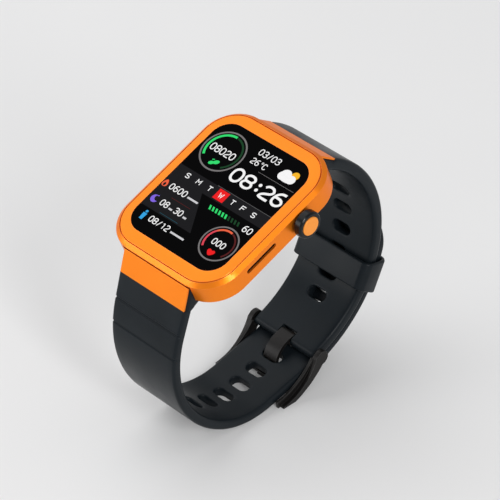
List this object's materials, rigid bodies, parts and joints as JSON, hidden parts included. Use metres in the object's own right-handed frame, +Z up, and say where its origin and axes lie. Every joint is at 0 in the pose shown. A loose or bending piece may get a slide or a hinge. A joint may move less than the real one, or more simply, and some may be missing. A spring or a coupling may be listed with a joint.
{
  "type": "smart watch with silicone strap",
  "caption": "Rectangular sports watch with an orange metal case and a turning crown, standing on its closed silicone strap with a pin buckle and a sliding keeper.",
  "frame": {"origin": "on the floor, at the middle of the footprint of the bounding box", "axes": "+X towards three o'clock, where the crown is; +Y horizontal, towards the twelve o'clock end; +Z up. The screen faces up and leans 21.5 degrees towards -Y."},
  "size_m": [0.0404, 0.0709, 0.0687],
  "materials": {
    "orange_frame": "satin orange anodised alloy, fine bead-blasted grain",
    "cover_glass": "polished clear glass over a black display",
    "display": "black lit display",
    "gasket": "matte sealing foam",
    "chassis": "moulded glass-filled plastic",
    "circuit_board": "green solder mask",
    "plated_steel": "plain brushed steel",
    "battery_foil": "crimped laminate foil",
    "black_plastic": "fine spark-eroded moulding",
    "rear_cover": "fine matt moulding, satin",
    "sensor_window": "polished dark lens",
    "sensor_parts": "clear moulded lenses",
    "gold_contact": "gold plated, polished",
    "nylon": "natural moulded nylon",
    "crown_dark": "black glossy coating",
    "crown_orange": "satin orange anodised alloy",
    "strap_silicone": "soft-touch matt silicone, slate black",
    "buckle_black": "matt black coating on steel, light wear on edges"
  },
  "bodies": {
    "watch": {"mid_frame": "orange_frame", "bezel_ring": "orange_frame", "cover_glass": "cover_glass", "display_panel": "display", "display_gasket": "gasket", "inner_chassis": "chassis", "main_board": "circuit_board", "shield_can": "plated_steel", "battery": "battery_foil", "vibration_motor": "plated_steel", "speaker_box": "black_plastic", "speaker_mesh": "black_plastic", "rear_cover": "rear_cover", "rear_gasket": "gasket", "rear_screws": "plated_steel", "sensor_window": "sensor_window", "sensor_board": "circuit_board", "optical_parts": "sensor_parts", "charging_contacts": "gold_contact", "crown_bush": "plated_steel", "crown_switch": "black_plastic", "lug_bar_upper": "plated_steel", "lug_bar_lower": "plated_steel", "end_plate_upper": "orange_frame", "end_plate_lower": "orange_frame", "strap_upper": "strap_silicone", "strap_lower": "strap_silicone", "buckle_bar": "plated_steel"},
    "crown_carrier": {"crown_slider": "nylon"},
    "crown": {"crown_clip": "plated_steel", "crown_stem": "plated_steel", "crown_o_ring": "gasket", "crown_ring": "crown_dark", "crown_cap": "crown_orange"},
    "buckle": {"buckle_frame": "buckle_black"},
    "tongue": {"buckle_tongue": "buckle_black"},
    "keeper": {"keeper": "strap_silicone"}
  },
  "joints": [
    {"name": "crown_press", "type": "slide", "parent": "watch", "child": "crown_carrier", "axis": [-1, 0, 0], "range_m": [0, 0.00035], "stiffness_N_per_m": 1500, "springref_m": -0.0004},
    {"name": "crown_turn", "type": "hinge", "parent": "crown_carrier", "child": "crown", "pos_m": [0.0185, -0.00286, 0.06007], "axis": [1, 0, 0], "continuous": true},
    {"name": "buckle_swing", "type": "hinge", "parent": "watch", "child": "buckle", "pos_m": [-0.00155, 0.01157, 0.00841], "axis": [1, 0, 0], "range_deg": [0, 2.5]},
    {"name": "tongue_swing", "type": "hinge", "parent": "buckle", "child": "tongue", "pos_m": [-0.00155, 0.01157, 0.00841], "axis": [1, 0, 0], "range_deg": [0, 1.5]},
    {"name": "keeper_slide", "type": "hinge", "parent": "watch", "child": "keeper", "pos_m": [-0.00155, 0.00166, 0.03641], "axis": [1, 0, 0], "range_deg": [-30, 8]}
  ]
}
